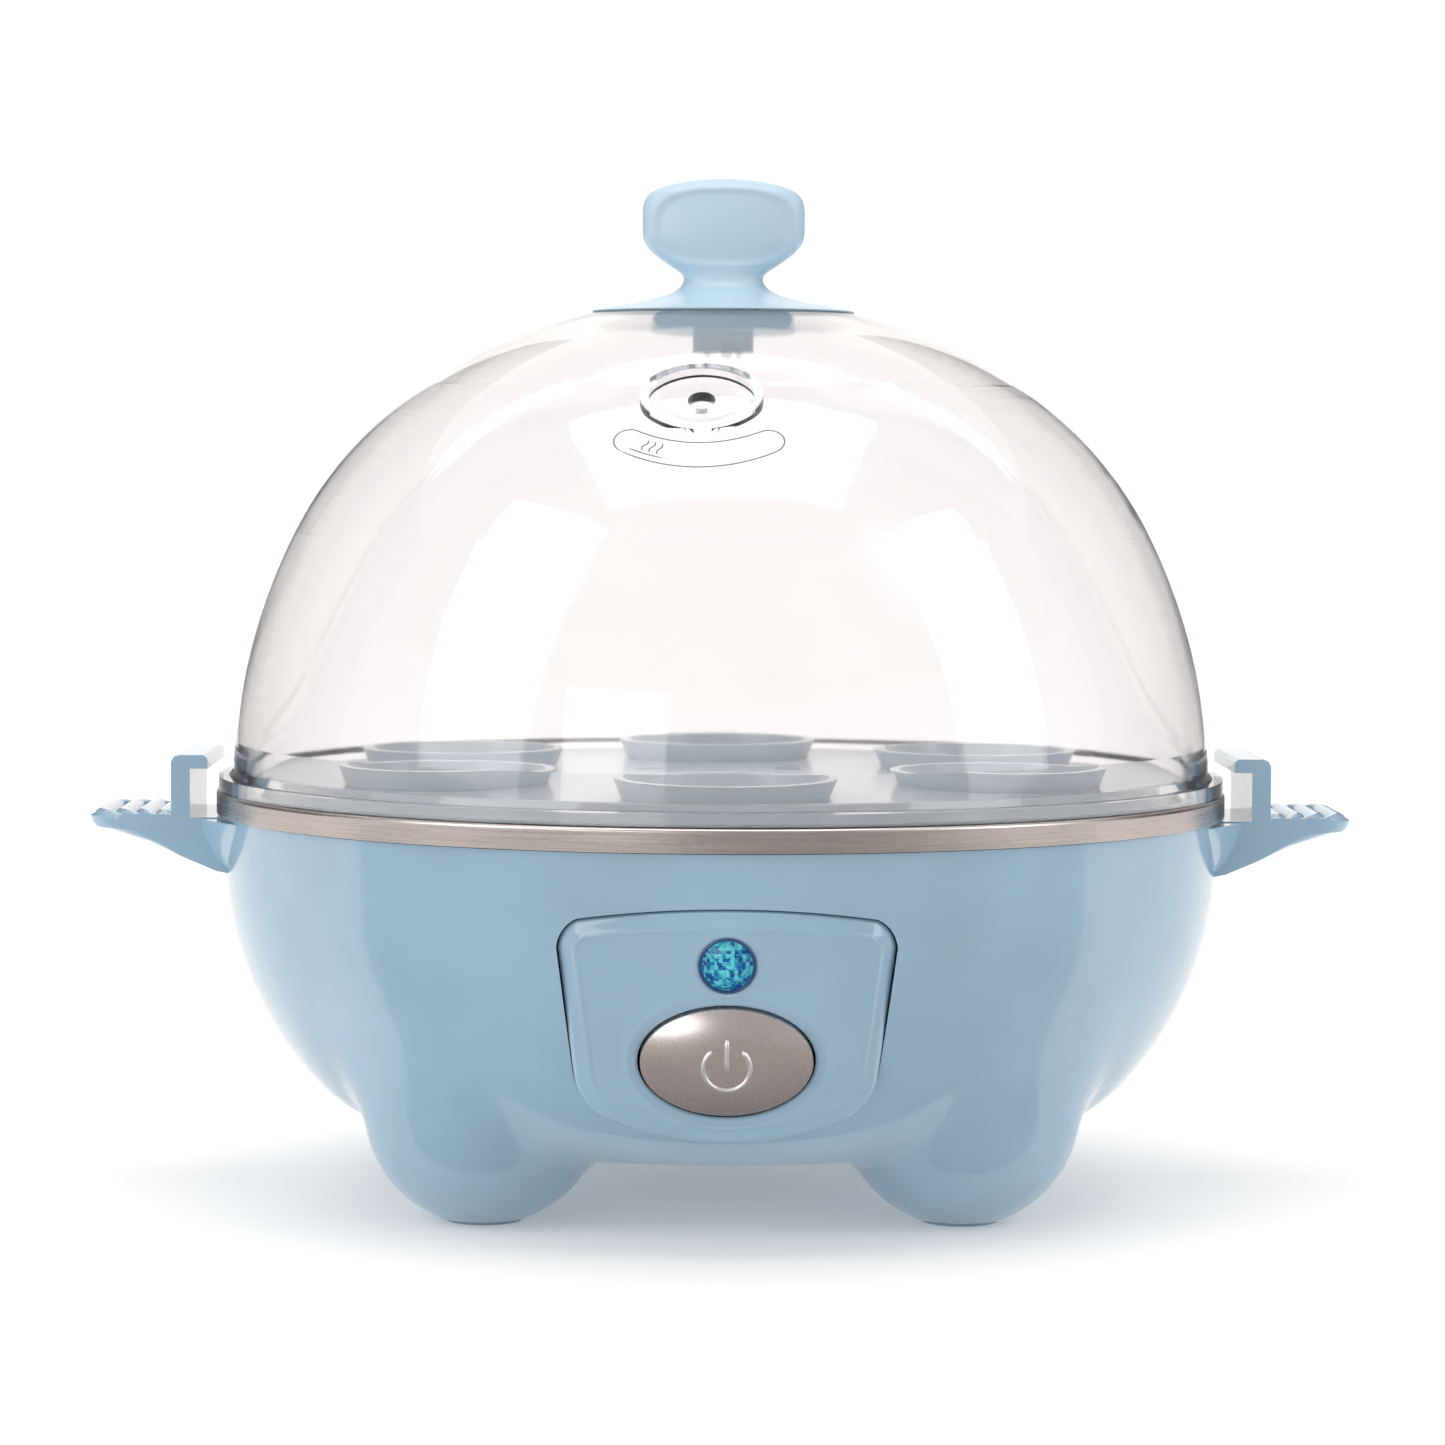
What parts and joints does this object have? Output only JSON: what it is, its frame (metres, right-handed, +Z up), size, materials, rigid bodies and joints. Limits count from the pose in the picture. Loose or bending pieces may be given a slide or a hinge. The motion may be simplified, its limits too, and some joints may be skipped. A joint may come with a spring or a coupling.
{
  "type": "egg cooker",
  "caption": "Round electric egg steamer: four-legged plastic bowl base with a push button, steel heating dish, lift-out tray with egg seats and a clear domed lid with a knob.",
  "frame": {"origin": "on the table, under the centre of the round base", "axes": "+Z up; +X to the right, through the right handle; -Y is the front, where the control panel is"},
  "size_m": [0.195, 0.157, 0.1571],
  "materials": {
    "blue_gloss": "glossy light blue moulded plastic",
    "panel_blue": "glossy light blue moulded plastic",
    "grey_rubber": "matt grey rubber",
    "dark_plastic": "fine matt texture",
    "black_plastic": "matt",
    "white_plastic": "matt",
    "screw_steel": "zinc plated",
    "zinc_steel": "plain",
    "satin_nickel": "satin nickel",
    "brushed_steel": "brushed round the rim",
    "lens_blue": "faceted translucent",
    "lamp_glass": "clear glass",
    "wire_rubber": "insulated wire",
    "clear_tray": "clear moulded plastic",
    "clear_lid": "clear moulded plastic"
  },
  "bodies": {
    "base": {"base_housing": "blue_gloss", "handle_right": "blue_gloss", "handle_left": "blue_gloss", "foot_pads": "grey_rubber", "bottom_cover": "dark_plastic", "cover_screws": "screw_steel", "plate_screws": "screw_steel", "control_panel": "panel_blue", "push_switch": "black_plastic", "switch_bracket": "zinc_steel", "indicator_lens": "lens_blue", "indicator_lamp": "lamp_glass", "heating_plate": "brushed_steel", "plate_gasket": "grey_rubber", "heating_element": "zinc_steel", "clamp_bar": "zinc_steel", "plate_studs": "screw_steel", "stud_nuts": "screw_steel", "thermostat": "black_plastic", "thermal_fuse": "white_plastic", "plate_pillars": "zinc_steel", "terminal_block": "white_plastic", "terminal_screws": "screw_steel", "wires": "wire_rubber", "cord_gland": "black_plastic"},
    "tray": {"egg_tray": "clear_tray"},
    "lid": {"lid_dome": "clear_lid", "knob": "blue_gloss", "knob_washer": "blue_gloss", "knob_screw": "screw_steel"},
    "button": {"power_button": "satin_nickel", "switch_plunger": "black_plastic"}
  },
  "joints": [
    {"name": "tray_lift", "type": "slide", "parent": "base", "child": "tray", "axis": [0, 0, 1], "range_m": [0, 0.1]},
    {"name": "lid_lift", "type": "slide", "parent": "tray", "child": "lid", "axis": [0, 0, 1], "range_m": [0, 0.12]},
    {"name": "button_press", "type": "slide", "parent": "base", "child": "button", "axis": [0, 0.9796, 0.2011], "range_m": [0, 0.0022], "stiffness_N_per_m": 600}
  ]
}
